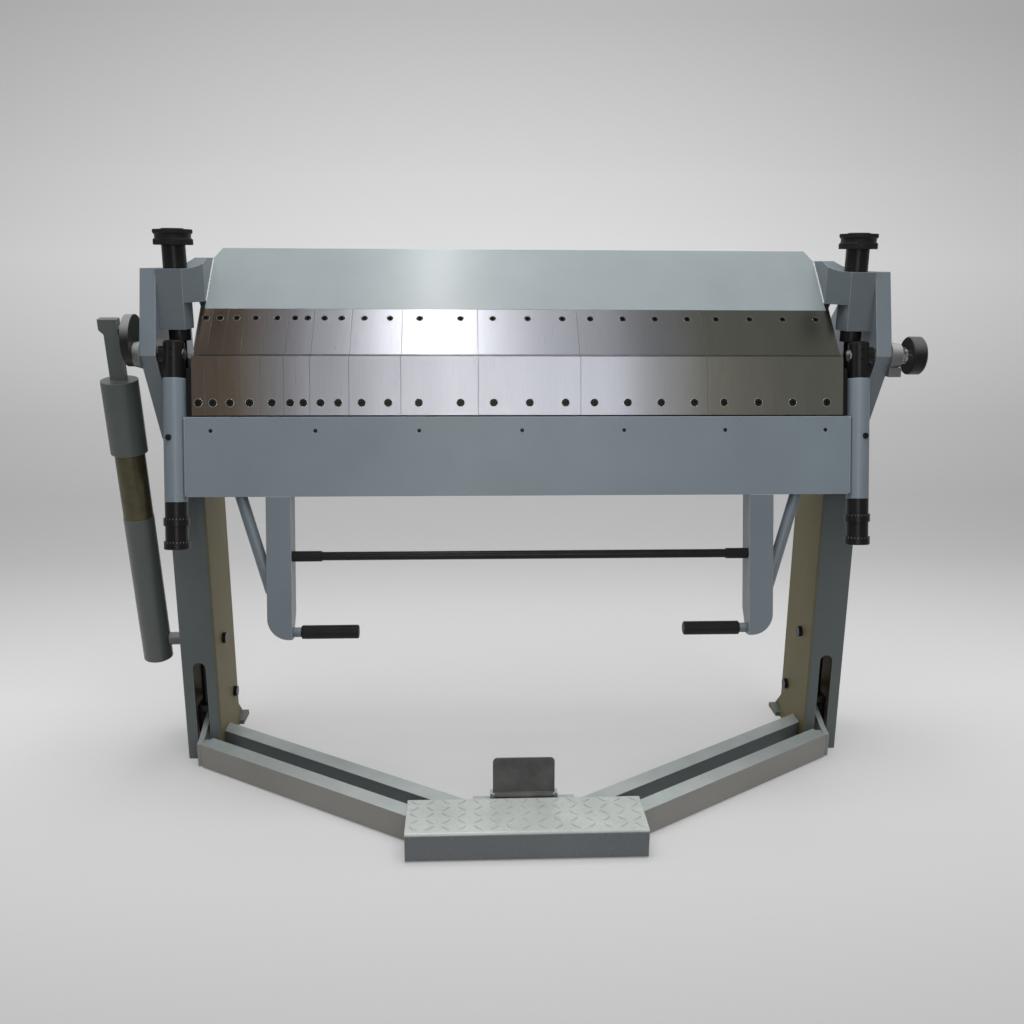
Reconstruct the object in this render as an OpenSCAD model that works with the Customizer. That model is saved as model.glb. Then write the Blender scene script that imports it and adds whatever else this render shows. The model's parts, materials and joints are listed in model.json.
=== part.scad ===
/* [Main sizes] */
// Height of the folding line above the floor
fold_h = 900; // [860:10:940]
// Distance of the rear floor bolts behind the folding line
anchor_back = 282; // [276:2:290]
// Length of the tool rows
work_l = 1270; // [1250:10:1280]
// Lean of the folding beam from upright, degrees
lean_deg = 12; // [10:1:13]

/* [Side frames] */
// Distance from the ends of the tool rows to the outer face of each side
side_reach = 96; // [94:1:98]
// Thickness of the cheek plates
cheek_t = 30; // [26:1:31]
// Width of the columns
column_w = 76; // [74:1:78]
// Distance of the column front behind the folding line
column_front = 80; // [78:1:84]
// Depth of the columns
column_d = 170; // [160:2:176]
// Sheet of the columns
column_wall = 4; // [3:0.5:5]
// Drop of the column top below the folding line
column_drop = 178; // [174:1:184]
// Rise of the cheeks above the folding line
cheek_rise = 162; // [150:2:166]
// Reach of the cheek noses before the folding line
nose_reach = 20; // [16:1:24]
// Thickness of the foot plates
foot_t = 10; // [8:1:12]
// Diameter of the floor bolt holes
anchor_hole_d = 14; // [12:1:16]

/* [Tool segments] */
// Height of the segments along their face
seg_h = 118; // [114:1:120]
// Thickness of the upper segments
upper_seg_t = 14; // [12:1:15]
// Thickness of the folding segments
fold_seg_t = 16; // [14:1:17]
// Seam between neighbouring segments
seam = 0.4; // [0.3:0.1:0.6]
// Head diameter of the folding segment screws
fold_head_d = 15; // [13:1:16]
// Head diameter of the upper segment screws
upper_head_d = 13; // [11:1:14]
// Sheet gap at the folding line
sheet_gap = 0.8; // [0.6:0.1:1]

/* [Upper beam] */
// Length of the upper beam along its leaning face
upper_face_l = 286; // [280:1:290]
// Distance of the upper beam's ends inside the ends of the tool row
beam_inset = 7; // [5:1:9]
// Distance of the spindles from the outer faces of the sides
spindle_inset = 60; // [59:1:61]
// Distance of the spindles behind the folding line
spindle_y = 50; // [49:1:52]
// Diameter of the spindle rods
rod_d = 24; // [20:1:26]
// Diameter of the sleeves over the brackets
sleeve_d = 45; // [42:1:46]
// Diameter of the top knobs
knob_d = 73; // [70:1:76]
// Height of the top knobs
knob_h = 31; // [28:1:34]

/* [Folding beam] */
// Height of the apron plate
apron_h = 154; // [150:1:158]
// Depth of the apron box
apron_d = 46; // [40:1:48]
// Diameter of the end tubes
tube_d = 43.5; // [42:0.5:44]
// Diameter of the knuckles
knuckle_d = 40; // [38:1:42]
// Diameter of the hinge pins
pin_d = 24; // [20:1:26]
// Distance of the arms from the ends of the apron
arm_inset = 176; // [170:1:190]
// Width of the arms
arm_w = 48; // [44:1:52]
// Diameter of the handle rods
handle_d = 23; // [20:1:24]
// Diameter of the grips
grip_d = 27; // [25:1:30]
// Diameter of the crossbar
crossbar_d = 17; // [15:1:19]

/* [Pedal and base] */
// Height of the base tubes
base_h = 50; // [46:1:50]
// Height of the pedal tubes and the tread
bar_h = 56; // [56:1:60]
// Width of the base and pedal tubes
bar_w = 36; // [32:1:38]
// Width of the tread
tread_w = 454; // [446:2:460]
// Depth of the tread
tread_d = 120; // [116:1:122]
// Height of the pedal pivot above the floor
pedal_pivot_h = 100; // [98:1:104]
// Distance of the pedal pivot behind the folding line
pedal_pivot_y = 217; // [214:1:220]

/* [Counterbalance strut] */
// Distance of the crank pin behind the hinge axis
crank_back = 50; // [46:1:52]
// Height of the crank pin above the hinge axis
crank_up = 42; // [38:1:44]
// Diameter of the crank disc
disc_d = 100; // [98:1:104]
// Thickness of the crank disc
disc_t = 16; // [12:1:20]
// Distance of the strut from the outer face of the left side
strut_reach = 71; // [68:1:76]
// Diameter of the upper strut tube
strut_top_d = 73; // [70:1:75]
// Diameter of the brass guide
guide_d = 60; // [57:1:60]
// Diameter of the lower strut tube
strut_low_d = 62; // [61:1:64]

/* [Hidden] */
$fn = 48;

// shared overrun of cuts and running clearances
over = 1;
run_gap = 0.06;
body_gap = 0.3;
half_angle = 45;
paint = "#7b878f";
steel = "#9a9a98";
black = "#1c1c1d";

// widths of the segments as shares of the tool row, and the screws and their spacing in each
seg_shares = [25 / 1270, 30 / 1270, 35 / 1270, 40 / 1270, 45 / 1270, 50 / 1270, 75 / 1270,
    100 / 1270, 150 / 1270, 200 / 1270, 250 / 1270, 270 / 1270];
screw_counts = [1, 1, 1, 1, 1, 2, 2, 2, 2, 3, 4, 4];
screw_spacing_shares = [0, 0, 0, 0, 0, 0.5, 0.45, 0.51, 0.54, 0.35, 0.263, 0.253];
narrow_count = 6;
// places of the wider segments in the tables
at_75 = 6;
at_100 = 7;
at_150 = 8;
at_200 = 9;
at_250 = 10;
at_270 = 11;
screw_rise = 24;
head_depth = 9;
shank_share = 0.6;
socket_share = 0.52;
socket_depth = 6;
hex = 6;

// sum of the shares before segment i
function shares_before(i) = i == 0 ? 0 : shares_before(i - 1) + seg_shares[i - 1];
function seg_x(i) = work_l * (shares_before(i) - 1 / 2);
function seg_w(i) = work_l * seg_shares[i];
function screw_xs(i) = [for (k = [0 : screw_counts[i] - 1])
    seg_x(i) + seg_w(i) / 2 + (k - (screw_counts[i] - 1) / 2) * seg_w(i) * screw_spacing_shares[i]];

// the frame of the folding line: the origin lies on the floor between the two rear bolts
module at_fold() translate([0, -anchor_back, fold_h]) children();
module lean() rotate([-lean_deg, 0, 0]) children();
module slope() rotate([-half_angle, 0, 0]) children();
module along_x(length) rotate([90, 0, 90]) linear_extrude(length, center = true) children();
module rod_x(d, length) rotate([0, 90, 0]) cylinder(d = d, h = length);
module both_sides() { children(); mirror([1, 0, 0]) children(); }

// Side frames

side_x = work_l / 2 + side_reach;
spindle_x = side_x - spindle_inset;
tube_x = spindle_x;
beam_half = work_l / 2 - beam_inset;
apron_half = tube_x - (tube_d + run_gap) / 2;
arm_x = apron_half - arm_inset;
strut_x = side_x + strut_reach;
inner_x = side_x - column_w;
column_x = side_x - column_w / 2;
column_len = fold_h - column_drop;
slot_w = 28;
slot_rise = 228;
slot_foot = 7;
slot_top = fold_h - slot_rise;
slot_bottom = fold_h - slot_foot;
head_slot_w = 66;
head_slot_top = 195;
head_slot_bottom = 302;
hole_play = 0.4;
bolt_d = 16;
bolt_head_d = 24;
bolt_head_t = 8;
strut_pin_y = 150;
strut_pin_h = 259;
strut_pin_drop = fold_h - strut_pin_h;
pedal_pivot_drop = fold_h - pedal_pivot_h;
foot_reach = 56;
foot_side = 14;
bend_r = 6;

// closed box of folded sheet with rounded front corners, drawn on the left
module column_shell() {
    difference() {
        translate([-side_x, column_front, -fold_h])
            linear_extrude(column_len)
                difference() {
                    union() {
                        translate([0, bend_r]) square([column_w, column_d - bend_r]);
                        translate([bend_r, 0]) square([column_w - 2 * bend_r, column_d]);
                        for (x = [bend_r, column_w - bend_r]) translate([x, bend_r]) circle(bend_r);
                    }
                    translate([column_wall, column_wall])
                        square([column_w - 2 * column_wall, column_d - 2 * column_wall]);
                }
        // front slot of the pedal lever, round at the top
        translate([-column_x, column_front + column_wall / 2, 0]) {
            translate([-slot_w / 2, -column_wall, -slot_bottom])
                cube([slot_w, 2 * column_wall, slot_bottom - slot_top - slot_w / 2]);
            translate([0, column_wall, -slot_top - slot_w / 2])
                rotate([90, 0, 0]) cylinder(d = slot_w, h = 2 * column_wall);
        }
        // opening behind the end tube for the lift rod's cross head
        translate([-side_x + column_wall, column_front - over, -head_slot_bottom])
            cube([head_slot_w, column_wall + 2 * over, head_slot_bottom - head_slot_top]);
        // rear access opening
        translate([-column_x - slot_w / 2, column_front + column_d - column_wall - over,
            -slot_bottom + slot_w]) cube([slot_w, column_wall + 2 * over, slot_bottom - slot_top]);
        translate([-side_x - over, pedal_pivot_y, -pedal_pivot_drop])
            rod_x(bolt_d + hole_play, column_w + 2 * over);
        translate([-side_x - over, strut_pin_y, -strut_pin_drop])
            rod_x(bolt_d + hole_play, column_w + 2 * over);
    }
}

// the plate and its gusset run into the column's rear wall
foot_y = column_front + column_d - column_wall / 2;
gusset_l = foot_reach + column_wall / 2;
module foot_plate() {
    difference() {
        translate([-side_x - foot_side + column_wall, foot_y, -fold_h])
            cube([column_w + 2 * foot_side - 2 * column_wall, foot_reach + column_wall / 2, foot_t]);
        translate([-column_x, anchor_back, -fold_h - over])
            cylinder(d = anchor_hole_d, h = foot_t + 2 * over);
    }
    // gusset from the plate to the column's rear wall
    translate([-column_x + slot_w, foot_y, -fold_h + foot_t / 2])
        rotate([90, 0, 90]) linear_extrude(column_wall)
            polygon([[0, 0], [gusset_l, 0], [gusset_l, foot_t / 2],
                [column_wall / 2, foot_reach + foot_t / 2], [0, foot_reach + foot_t / 2]]);
}

module column() color(paint) at_fold() {
    column_shell();
    foot_plate();
    translate([-side_x + column_wall / 2, column_front + column_wall / 2, -column_drop - column_wall])
        cube([column_w - column_wall, column_d - column_wall, column_wall]);
}
module column_left() column();
module column_right() mirror([1, 0, 0]) column();

cheek_lean = 45;
cheek_back_drop = 60;
cheek_top_d = 110;
boss_d = 54;
bush_t = 4;
bush_d = pin_d + 2 * bush_t;

// thick plate on the column with a nose round the hinge pin
module cheek() color(paint) at_fold() difference() {
    translate([-side_x + cheek_t / 2, 0, 0]) along_x(cheek_t) polygon([
        [-nose_reach, 0], [cheek_lean - nose_reach, cheek_rise],
        [cheek_lean - nose_reach + cheek_top_d, cheek_rise], [column_front + column_d, cheek_back_drop],
        [column_front + column_d, -column_drop], [column_front, -column_drop]]);
    translate([-side_x - over, 0, 0]) rod_x(bush_d, cheek_t + 2 * over);
}
module cheek_left() cheek();
module cheek_right() mirror([1, 0, 0]) cheek();

blade_t = 14;
blade_d = 62;
edge_gap = 1;
blade_edge_t = 3.5;
beam_front = 22;
beam_back = 190;
beam_drop = 168;
beam_wall = 6;
beam_end_gap = 30;
beam_lug_y = 78;

// box beam under the table blade, its end lugs pass behind the lift rods
module lower_beam() color(paint) at_fold() {
    half = spindle_x - beam_end_gap;
    difference() {
        along_x(2 * half) polygon([[beam_front, -blade_t], [beam_back, -blade_t], [beam_back, -beam_drop],
            [beam_lug_y, -beam_drop], [beam_front, -beam_drop / 2]]);
        along_x(2 * (half - beam_wall)) polygon([[beam_front + beam_wall, -blade_t - beam_wall],
            [beam_back - beam_wall, -blade_t - beam_wall], [beam_back - beam_wall, -beam_drop + beam_wall],
            [beam_lug_y + beam_wall / 2, -beam_drop + beam_wall], [beam_front + beam_wall, -beam_drop / 2]]);
    }
    both_sides() translate([half, beam_lug_y, -beam_drop])
        cube([side_x - cheek_t - half, beam_back - beam_lug_y, beam_drop - blade_t]);
}

// hardened edge that the sheet lies on, bevelled underneath
module table_blade() color(steel) at_fold() along_x(work_l)
    polygon([[edge_gap, 0], [blade_d, 0], [blade_d, -blade_t], [edge_gap + blade_t, -blade_t],
        [edge_gap, -blade_edge_t]]);

// Base

base_back_y = 160;
base_front_y = -231;
base_front_x = 100;
cross_len = 2 * base_front_x;
cross_back = -188;
cross_d = 68;

// tube from p to q on its middle line, lengthened by extra past both
module bar_between(p, q, z, height, width, extra) {
    v = q - p;
    translate([p[0], p[1], z]) rotate([0, 0, atan2(v[1], v[0])])
        translate([-extra, -width / 2, 0]) cube([norm(v) + 2 * extra, width, height]);
}

// slanting square tube from the column's inner face to the cross tube
module base_tube() color(paint) at_fold() intersection() {
    bar_between([-column_x, base_back_y], [-base_front_x, base_front_y], -fold_h, base_h, bar_w, bar_w);
    translate([-inner_x, base_front_y - bar_w, -fold_h - over])
        cube([inner_x - base_front_x, base_back_y - base_front_y + bar_w, base_h + 2 * over]);
}
module base_tube_left() base_tube();
module base_tube_right() mirror([1, 0, 0]) base_tube();

latch_w = 122;
latch_h = 78;
latch_t = 3;
latch_pin_d = 8;
latch_inset = 15;
latch_y = cross_back - latch_inset;
latch_rise = 9;
ear_t = 5;
latch_lean = -4;
latch_round = 9;
// the plate starts inside the wall of its barrel
latch_root = (latch_pin_d + latch_t) / 2;

// cross tube with the two ears and the pin of the latch plate
module base_cross_tube() color(paint) at_fold() {
    translate([-base_front_x, cross_back - cross_d, -fold_h]) cube([cross_len, cross_d, base_h]);
    translate([-latch_w / 2, latch_y, -fold_h + base_h + latch_rise]) rod_x(latch_pin_d, latch_w);
    both_sides() translate([latch_w / 2, latch_y - latch_rise, -fold_h + base_h])
        cube([ear_t, 2 * latch_rise, 2 * latch_rise]);
}

// bent foot plate of the latch, carried on its pin
module latch_plate() color(black) at_fold() {
    translate([0, latch_y, -fold_h + base_h + latch_rise]) {
        difference() {
            union() {
                translate([-latch_w / 2 + latch_t, 0, 0])
                    rod_x(latch_pin_d + 2 * latch_t, latch_w - 2 * latch_t);
                rotate([latch_lean, 0, 0]) translate([0, latch_t, 0]) rotate([90, 0, 0])
                    linear_extrude(latch_t) {
                        half = latch_w / 2 - body_gap;
                        translate([-half, latch_root]) square([2 * half, latch_h - latch_round - latch_root]);
                        translate([latch_round - half, latch_root])
                            square([2 * (half - latch_round), latch_h - latch_root]);
                        both_sides() translate([half - latch_round, latch_h - latch_round])
                            circle(latch_round);
                    }
            }
            translate([-latch_w / 2, 0, 0]) rod_x(latch_pin_d + 2 * run_gap, latch_w);
        }
    }
}

// Hinge of the folding beam

boss_l = 13.7;
boss_right_l = 22;
strut_boss_d = 28;
lug_w = 24;
lug_d = 30;
lug_h = 18;
boss_small_share = 0.86;

module boss(length) rotate([0, 90, 0]) difference() {
    cylinder(d1 = boss_d, d2 = boss_d * boss_small_share, h = length);
    translate([0, 0, -over]) cylinder(d = pin_d + 2 * body_gap, h = length + 2 * over);
}
module pivot_bosses() color(paint) at_fold() {
    translate([side_x, 0, 0]) boss(boss_right_l);
    // stop lug below the right boss
    translate([side_x, -lug_d / 2, -boss_d / 2 * boss_small_share - lug_h]) cube([lug_w, lug_d, lug_h]);
    mirror([1, 0, 0]) {
        translate([side_x, 0, 0]) boss(boss_l);
        translate([side_x, strut_pin_y, -strut_pin_drop]) difference() {
            rod_x(strut_boss_d, strut_reach - strut_low_d / 2 - body_gap);
            translate([-over, 0, 0]) rod_x(bolt_d + hole_play, strut_reach);
        }
    }
}
module pivot_bushes() color("#9c8052") at_fold() both_sides() difference() {
    translate([side_x - cheek_t, 0, 0]) rod_x(bush_d, cheek_t);
    translate([side_x - cheek_t - over, 0, 0]) rod_x(pin_d + 2 * run_gap, cheek_t + 2 * over);
}
module column_bolt(y, drop, outer) translate([inner_x, y, -drop]) {
    translate([-bolt_head_t, 0, 0]) rod_x(bolt_head_d, bolt_head_t);
    rod_x(bolt_d, column_w + outer);
}
strut_pin_past = 10;
// pedal pivots, the blank bolt on the right and the strut's pin on the left
module column_bolts() color(black) at_fold() {
    both_sides() column_bolt(pedal_pivot_y, pedal_pivot_drop, bolt_head_t);
    column_bolt(strut_pin_y, strut_pin_drop, bolt_head_t);
    mirror([1, 0, 0]) column_bolt(strut_pin_y, strut_pin_drop, strut_reach + strut_pin_past);
}

// Clamping beam

upper_wall = 8;
beam_rear = 220;
beam_rear_low = 190;
face_chamfer_w = 16;
face_chamfer_h = 30;
face_low = seg_h + seam;
root2 = sqrt(2);
seat = upper_seg_t * root2;
beam_low = 6;
beam_top = (upper_face_l - 2 * upper_seg_t / root2) / root2;

// hollow beam whose front lies at 45 degrees behind the segments
module upper_beam() color(paint) at_fold() difference() {
    along_x(2 * beam_half) polygon([[seat + beam_low, beam_low], [seat + beam_top, beam_top],
        [beam_rear, beam_top], [beam_rear, beam_low + beam_rear - beam_rear_low], [beam_rear_low, beam_low]]);
    along_x(2 * (beam_half - upper_wall)) polygon([
        [seat + beam_low + (1 + root2) * upper_wall, beam_low + upper_wall],
        [seat + beam_top - (root2 - 1) * upper_wall, beam_top - upper_wall],
        [beam_rear - upper_wall, beam_top - upper_wall],
        [beam_rear - upper_wall, beam_low + beam_rear - beam_rear_low + upper_wall / 2],
        [beam_rear_low - upper_wall / 2, beam_low + upper_wall]]);
}

// face plate over the segments, with cut top corners
module upper_face_plate() color("#98a4ad") at_fold() slope()
    translate([0, upper_seg_t, 0]) rotate([90, 0, 0]) linear_extrude(upper_seg_t)
        polygon([[-beam_half, face_low], [beam_half, face_low],
            [beam_half, upper_face_l - face_chamfer_h], [beam_half - face_chamfer_w, upper_face_l],
            [-beam_half + face_chamfer_w, upper_face_l], [-beam_half, upper_face_l - face_chamfer_h]]);

block_w = 49;
block_front = 20;
block_back = 84;
block_low = 46;
block_high = 161;
plate_t = 14;
plate_low = 97;
plate_high = 182;
neck_y = 90;
neck_r = 273;
rod_play = 0.5;
block_x = side_x - cheek_t - body_gap;

// block round the spindle, its slanting neck and the plate on the beam's end
module end_bracket() color("#6f7a82") at_fold() mirror([1, 0, 0]) difference() {
    block_in = block_x - block_w;
    union() {
        translate([block_in, block_front, block_low])
            cube([block_w, block_back - block_front, block_high - block_low]);
        translate([0, 0, plate_low]) linear_extrude(plate_high - plate_low)
            polygon([[block_in + plate_t, block_front], [block_in + plate_t, block_back],
                [beam_half + plate_t, neck_y + block_back - block_front],
                [beam_half, neck_y + block_back - block_front], [beam_half, neck_y],
                [block_in, block_front]]);
        translate([beam_half + plate_t / 2, 0, 0]) along_x(plate_t)
            polygon([[plate_low, plate_low], [plate_low + seat / 2, plate_low - seat / 2],
                [seat + beam_low, beam_low], [beam_rear_low, beam_low],
                [beam_rear, beam_low + beam_rear - beam_rear_low], [beam_rear, plate_high],
                [plate_low, plate_high]]);
    }
    // hollow curve of the neck's top
    translate([beam_half - over, block_front, block_high + neck_r]) rod_x(2 * neck_r, block_w + 2 * plate_t);
    translate([spindle_x, spindle_y, block_low - over])
        cylinder(d = rod_d + rod_play, h = block_high - block_low + 2 * over);
    // seat of the sleeve in the neck
    translate([spindle_x, spindle_y, block_high])
        cylinder(d = sleeve_d + 2 * rod_play, h = plate_high - block_high);
}
module end_bracket_left() end_bracket();
module end_bracket_right() mirror([1, 0, 0]) end_bracket();

sleeve_low_d = 42;
sleeve_low = 24;
sleeve_top = 205;
rod_top = 226;
head_drop = 285;
head_t = 26;
head_w = 34;
pull_y = 125;
pull_d = 18;
lever_t = 12;
lever_play = 1.5;
fork_w = 34;
fork_neck = 15;
fork_reach = 40;
fork_pin_d = 8;

// distance down the pedal lever's middle line at the pull rod
pedal_front_y = 50;
lever_drop = fold_h - bar_h / 2;
lever_slope = (lever_drop - pedal_pivot_drop) / (pedal_pivot_y - pedal_front_y);
fork_pin_drop = pedal_pivot_drop + lever_slope * (pedal_pivot_y - pull_y);
fork_top = fork_pin_drop - fork_reach;

// spindle with its sleeves, cross head, pull rod and fork, on the left
module lift_rod() color(black) at_fold() mirror([1, 0, 0]) {
    translate([spindle_x, spindle_y, -head_drop]) cylinder(d = rod_d, h = head_drop + rod_top);
    translate([spindle_x, spindle_y, block_high]) cylinder(d = sleeve_d, h = sleeve_top - block_high);
    translate([spindle_x, spindle_y, sleeve_low]) cylinder(d = sleeve_low_d, h = block_low - sleeve_low);
    translate([column_x - head_w / 2 - (column_x - spindle_x) / 2, spindle_y - rod_d / 2, -head_drop])
        cube([head_w + (column_x - spindle_x) / 2, pull_y + pull_d / 2 - spindle_y + rod_d / 2, head_t]);
    translate([column_x, pull_y, -fork_top]) cylinder(d = pull_d, h = fork_top - head_drop);
    difference() {
        translate([column_x - fork_w / 2, pull_y - pull_d, -fork_pin_drop - pull_d / 2])
            cube([fork_w, 2 * pull_d, fork_pin_drop + pull_d / 2 - fork_top + fork_neck]);
        translate([column_x - lever_t / 2 - lever_play, pull_y - pull_d - over, -fork_pin_drop - pull_d])
            cube([lever_t + 2 * lever_play, 2 * pull_d + 2 * over, fork_pin_drop + pull_d - fork_top]);
    }
    translate([column_x - fork_w / 2, pull_y, -fork_pin_drop]) rod_x(fork_pin_d, fork_w);
}
module lift_rod_left() lift_rod();
module lift_rod_right() mirror([1, 0, 0]) lift_rod();

knob_waist_share = 0.93;
knob_top_share = 0.62;
knob_height_shares = [0.34, 0.42, 0.62, 0.7];
crown = 2;

// waisted hand nut, turned about the spindle
module top_knob() color(black) at_fold() translate([-spindle_x, spindle_y, sleeve_top + body_gap])
    rotate_extrude() difference() {
        polygon([[0, 0], [knob_d / 2, 0], [knob_d / 2, knob_h * knob_height_shares[0]],
            [knob_d / 2 * knob_waist_share, knob_h * knob_height_shares[1]],
            [knob_d / 2 * knob_waist_share, knob_h * knob_height_shares[2]],
            [knob_d / 2, knob_h * knob_height_shares[3]], [knob_d / 2, knob_h - crown],
            [knob_d / 2 * knob_top_share, knob_h - crown],
            [knob_d / 2 * knob_top_share - crown, knob_h], [0, knob_h]]);
        square([rod_d / 2 + run_gap, rod_top - sleeve_top + body_gap]);
    }
module knob_left() top_knob();
module knob_right() mirror([1, 0, 0]) top_knob();

// Tool segments

// counterbored holes of segment i, cut from the face inwards along +Y
module screw_cuts(i, z, head_d, t) for (x = screw_xs(i)) translate([x, 0, z]) rotate([-90, 0, 0]) {
    translate([0, 0, -over]) cylinder(d = head_d + 2 * body_gap, h = head_depth + over);
    cylinder(d = head_d * shank_share + 2 * body_gap, h = t + over);
}
module cap_screw(head_d, t) rotate([-90, 0, 0]) difference() {
    union() {
        translate([0, 0, crown / 2]) cylinder(d = head_d, h = head_depth - crown / 2);
        cylinder(d = head_d * shank_share, h = t);
    }
    translate([0, 0, -over]) cylinder(d = head_d * socket_share, h = socket_depth + over, $fn = hex);
}
module upper_segment(i) color(steel) at_fold() slope() difference() {
    translate([seg_x(i) + seg_w(i) / 2, 0, 0]) along_x(seg_w(i) - seam)
        polygon([[0, sheet_gap * root2], [0, seg_h], [upper_seg_t, seg_h],
            [upper_seg_t, upper_seg_t + sheet_gap * root2]]);
    screw_cuts(i, seg_h - screw_rise, upper_head_d, upper_seg_t);
}
module upper_narrow_segments() for (i = [0 : narrow_count - 1]) upper_segment(i);
module upper_segment_75() upper_segment(at_75);
module upper_segment_100() upper_segment(at_100);
module upper_segment_150() upper_segment(at_150);
module upper_segment_200() upper_segment(at_200);
module upper_segment_250() upper_segment(at_250);
module upper_segment_270() upper_segment(at_270);
module upper_segment_screws() color(black) at_fold() slope()
    for (i = [0 : len(seg_shares) - 1]) for (x = screw_xs(i))
        translate([x, 0, seg_h - screw_rise]) cap_screw(upper_head_d, upper_seg_t);

rear_gap = 0.5;
face_y = fold_seg_t + rear_gap;
top_slant = tan(lean_deg);

module fold_segment(i) color(steel) at_fold() lean() difference() {
    translate([seg_x(i) + seg_w(i) / 2, 0, 0]) along_x(seg_w(i) - seam)
        polygon([[-rear_gap, -sheet_gap - rear_gap * top_slant], [-face_y, -sheet_gap - face_y * top_slant],
            [-face_y, -seg_h], [-rear_gap, -seg_h]]);
    translate([0, -face_y, 0]) screw_cuts(i, -seg_h + screw_rise, fold_head_d, fold_seg_t);
}
module fold_narrow_segments() for (i = [0 : narrow_count - 1]) fold_segment(i);
module fold_segment_75() fold_segment(at_75);
module fold_segment_100() fold_segment(at_100);
module fold_segment_150() fold_segment(at_150);
module fold_segment_200() fold_segment(at_200);
module fold_segment_250() fold_segment(at_250);
module fold_segment_270() fold_segment(at_270);
module fold_segment_screws() color(black) at_fold() lean()
    for (i = [0 : len(seg_shares) - 1]) for (x = screw_xs(i))
        translate([x, -face_y, -seg_h + screw_rise]) cap_screw(fold_head_d, fold_seg_t);

// Folding beam

seg_clear = 3;
apron_top = seg_h + seg_clear;
apron_low = apron_top + apron_h;
backing_top = 26;
apron_wall = 5;
grub_d = 8;
grub_count = 7;
grub_inset = 35;
grub_pitch = (work_l - 2 * grub_inset) / (grub_count - 1);
grub_drop = 27;
grub_depth = 4;

apron_back = apron_d - face_y;

// dark bar behind the segments, bevelled at the top rear
module apron_backing() color(black) at_fold() lean() along_x(2 * apron_half)
    polygon([[-rear_gap, -backing_top], [apron_back, -backing_top - apron_back],
        [apron_back, -apron_top], [-rear_gap, -apron_top]]);

// box under the backing bar, closed at the ends
module apron_beam() color(paint) at_fold() lean() difference() {
    along_x(2 * apron_half) polygon([[-face_y, -apron_top], [apron_back, -apron_top],
        [apron_back, -apron_low], [-face_y, -apron_low]]);
    along_x(2 * (apron_half - apron_wall)) polygon([[apron_back - apron_wall, -apron_top - apron_wall],
        [apron_back - apron_wall, -apron_low + apron_wall], [-face_y + apron_wall, -apron_low + apron_wall],
        [-face_y + apron_wall, -apron_top - apron_wall]]);
    for (k = [0 : grub_count - 1])
        translate([(k - (grub_count - 1) / 2) * grub_pitch, -face_y - over, -apron_top - grub_drop])
            rotate([-90, 0, 0]) cylinder(d = grub_d, h = grub_depth + over);
}
module apron_grub_screws() color(black) at_fold() lean() {
    for (k = [0 : grub_count - 1])
        translate([(k - (grub_count - 1) / 2) * grub_pitch, -face_y + rear_gap, -apron_top - grub_drop])
            rotate([-90, 0, 0]) difference() {
                cylinder(d = grub_d, h = grub_depth - rear_gap);
                translate([0, 0, -over]) cylinder(d = grub_d * socket_share, h = 2 * over, $fn = hex);
            }
}

tube_y = -2;
tube_top = 46;
tube_past = 9;
tube_low = apron_low + tube_past;
stem_d = 20;
stem_l = 50;
stem_end_gap = 4;
tube_bore_l = stem_l + stem_end_gap;
set_screw_d = 13;
set_screw_drop = 160;
set_screw_side = 7.25;
set_screw_l = 10.9;

// end tube with the bore of the adjuster's stem and a set screw
module end_tube() color(paint) at_fold() lean() mirror([1, 0, 0]) translate([tube_x, tube_y, 0]) {
    difference() {
        translate([0, 0, -tube_low]) cylinder(d = tube_d, h = tube_low - tube_top);
        translate([0, 0, -tube_low - over]) cylinder(d = stem_d + 2 * run_gap, h = tube_bore_l + over);
        translate([set_screw_side, -tube_d / 2 - over, -set_screw_drop])
            rotate([-90, 0, 0]) cylinder(d = set_screw_d, h = set_screw_l);
    }
    translate([set_screw_side, -tube_d / 2 + rear_gap, -set_screw_drop])
        rotate([-90, 0, 0]) cylinder(d = set_screw_d - 2 * body_gap, h = set_screw_l);
}
module end_tube_left() end_tube();
module end_tube_right() mirror([1, 0, 0]) end_tube();

knuckle_top = 26;
knuckle_boss_d = 34;
knuckle_boss_l = 7;
knuckle_chamfer = 3;
knuckle_hole_rise = 8.7;
knuckle_hole_d = 4;

// barrel on the tube's end with a side boss, bored for the hinge pin
module knuckle() color(black) at_fold() lean() mirror([1, 0, 0]) difference() {
    union() {
        translate([tube_x, tube_y, -tube_top])
            cylinder(d = knuckle_d, h = tube_top + knuckle_top - knuckle_chamfer);
        translate([tube_x, tube_y, knuckle_top - knuckle_chamfer])
            cylinder(d1 = knuckle_d, d2 = knuckle_d - 2 * knuckle_chamfer, h = knuckle_chamfer);
        translate([tube_x, 0, 0]) rod_x(knuckle_boss_d, knuckle_d / 2 + knuckle_boss_l);
    }
    translate([tube_x - knuckle_d, 0, 0]) rod_x(pin_d + 2 * run_gap, 2 * knuckle_d);
    for (z = [knuckle_hole_rise, -knuckle_hole_rise])
        translate([tube_x, -knuckle_d, z]) rotate([-90, 0, 0])
            cylinder(d = knuckle_hole_d, h = knuckle_d / 2 + knuckle_hole_d);
}
module knuckle_left() knuckle();
module knuckle_right() mirror([1, 0, 0]) knuckle();

arm_low = 554;
arm_d = 48;
arm_taper = 50;
arm_round = 42;

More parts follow.
